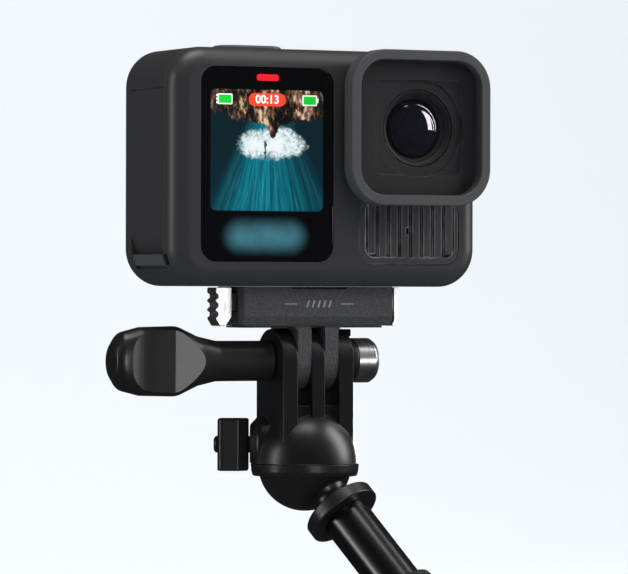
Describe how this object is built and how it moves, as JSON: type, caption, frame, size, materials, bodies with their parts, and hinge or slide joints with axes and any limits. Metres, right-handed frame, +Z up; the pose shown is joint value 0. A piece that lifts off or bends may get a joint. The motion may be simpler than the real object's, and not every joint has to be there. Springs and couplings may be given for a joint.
{
  "type": "action camera on a ball-head mount",
  "caption": "Pocket action camera with front and rear screens on a quick-release plate, a pronged ball head and a short pole.",
  "frame": {"origin": "middle of the flat end of the pole's end cap", "axes": "+X to the camera's right seen from the front, the lens looks along -Y, +Z up with the camera level"},
  "size_m": [0.0821, 0.0659, 0.145],
  "materials": {
    "housing": "fine matte moulded black",
    "frame": "matte black, slightly smoother than the housing",
    "gloss": "gloss black glass",
    "screen": "lit display behind glass",
    "lamp": "red light pipe",
    "optic": "coated optical glass",
    "inner": "matte black moulding",
    "grain": "fine grainy dark grey moulding",
    "satin": "satin black moulding",
    "tube": "gloss black anodised tube",
    "steel": "bright steel",
    "board": "green circuit board",
    "cell": "battery case",
    "alloy": "plain aluminium",
    "rubber": "black rubber"
  },
  "bodies": {
    "pole_base": {"pole_sleeve": "tube", "pole_end_cap": "rubber", "sleeve_collar": "rubber"},
    "pole_tube": {"pole_tube": "tube", "pole_collar": "satin", "ball_stem": "satin"},
    "ball_ring": {"socket_ring": "satin"},
    "ball_head": {"ball_yoke": "satin", "nut_collar": "satin", "thumbscrew_nut": "steel", "friction_pad": "rubber"},
    "thumbscrew": {"thumbscrew_handle": "satin", "thumbscrew_bolt": "steel"},
    "clamp": {"clamp_knob": "satin", "clamp_screw": "steel"},
    "plate": {"quick_release_plate": "grain", "plate_magnet": "steel", "release_spring": "steel", "claw_spring": "steel"},
    "release": {"release_button": "steel"},
    "claw": {"latch_claw": "steel"},
    "camera": {"front_housing": "housing", "rear_housing": "housing", "front_window": "gloss", "front_display": "screen", "record_lamp": "lamp", "ribbed_panel": "frame", "microphone": "alloy", "loudspeaker": "inner", "rear_window": "gloss", "rear_display": "screen", "lens_neck": "housing", "lens_ring": "inner", "front_lens": "optic", "lens_barrel": "inner", "rear_lens": "optic", "sensor_board": "board", "image_sensor": "gloss", "battery": "cell", "memory_card": "gloss", "usb_socket": "steel", "main_board": "board", "heat_spreader": "alloy", "shutter_switch": "alloy", "mode_switch": "alloy", "finger_tray": "inner", "folding_finger_left": "inner", "finger_pin_left": "steel", "folding_finger_right": "inner", "finger_pin_right": "steel"},
    "lens_cover": {"lens_cover_frame": "frame", "lens_cover_glass": "optic", "lens_hood": "frame"},
    "door": {"side_door": "housing", "door_hinge_pin": "steel", "door_seal": "rubber"},
    "latch": {"door_latch": "frame"},
    "shutter": {"shutter_button": "frame"},
    "mode": {"mode_button": "frame"}
  },
  "joints": [
    {"name": "pole_extend", "type": "slide", "parent": "pole_base", "child": "pole_tube", "axis": [-0.321, 0.63, 0.7071], "range_m": [-0.009, 0.006]},
    {"name": "head_tilt", "type": "hinge", "parent": "pole_tube", "child": "ball_ring", "pos_m": [-0.02343, 0.04599, 0.05162], "axis": [0.891, 0.454, 0], "range_deg": [-90, 3]},
    {"name": "head_pan", "type": "hinge", "parent": "ball_ring", "child": "ball_head", "pos_m": [-0.02343, 0.04599, 0.05162], "axis": [0, 0, 1], "continuous": true},
    {"name": "clamp_knob_turn", "type": "hinge", "parent": "ball_head", "child": "clamp", "pos_m": [-0.02343, 0.04599, 0.05582], "axis": [-0.8988, 0.4384, 0], "continuous": true},
    {"name": "thumbscrew_turn", "type": "hinge", "parent": "ball_head", "child": "thumbscrew", "pos_m": [-0.02343, 0.04599, 0.07377], "axis": [1, 0, 0], "continuous": true},
    {"name": "camera_tilt", "type": "hinge", "parent": "ball_head", "child": "plate", "pos_m": [-0.02343, 0.04599, 0.07377], "axis": [1, 0, 0], "range_deg": [-90, 90]},
    {"name": "release_press", "type": "slide", "parent": "plate", "child": "release", "axis": [1, 0, 0], "range_m": [0, 0.0012], "stiffness_N_per_m": 600},
    {"name": "claw_press", "type": "slide", "parent": "plate", "child": "claw", "axis": [-1, 0, 0], "range_m": [0, 0.0012], "stiffness_N_per_m": 600},
    {"name": "camera_release", "type": "slide", "parent": "plate", "child": "camera", "axis": [0, 0, 1], "range_m": [0, 0.02]},
    {"name": "lens_cover_pull", "type": "slide", "parent": "camera", "child": "lens_cover", "axis": [0, -1, 0], "range_m": [0, 0.012]},
    {"name": "door_swing", "type": "hinge", "parent": "camera", "child": "door", "pos_m": [-0.05863, 0.04799, 0.13022], "axis": [0, 1, 0], "range_deg": [0, 88]},
    {"name": "latch_slide", "type": "slide", "parent": "door", "child": "latch", "axis": [0, 0, -1], "range_m": [0, 0.0007], "stiffness_N_per_m": 300},
    {"name": "shutter_press", "type": "slide", "parent": "camera", "child": "shutter", "axis": [0, 0, -1], "range_m": [0, 0.0006], "stiffness_N_per_m": 800},
    {"name": "mode_press", "type": "slide", "parent": "camera", "child": "mode", "axis": [-1, 0, 0], "range_m": [0, 0.0005], "stiffness_N_per_m": 800}
  ]
}
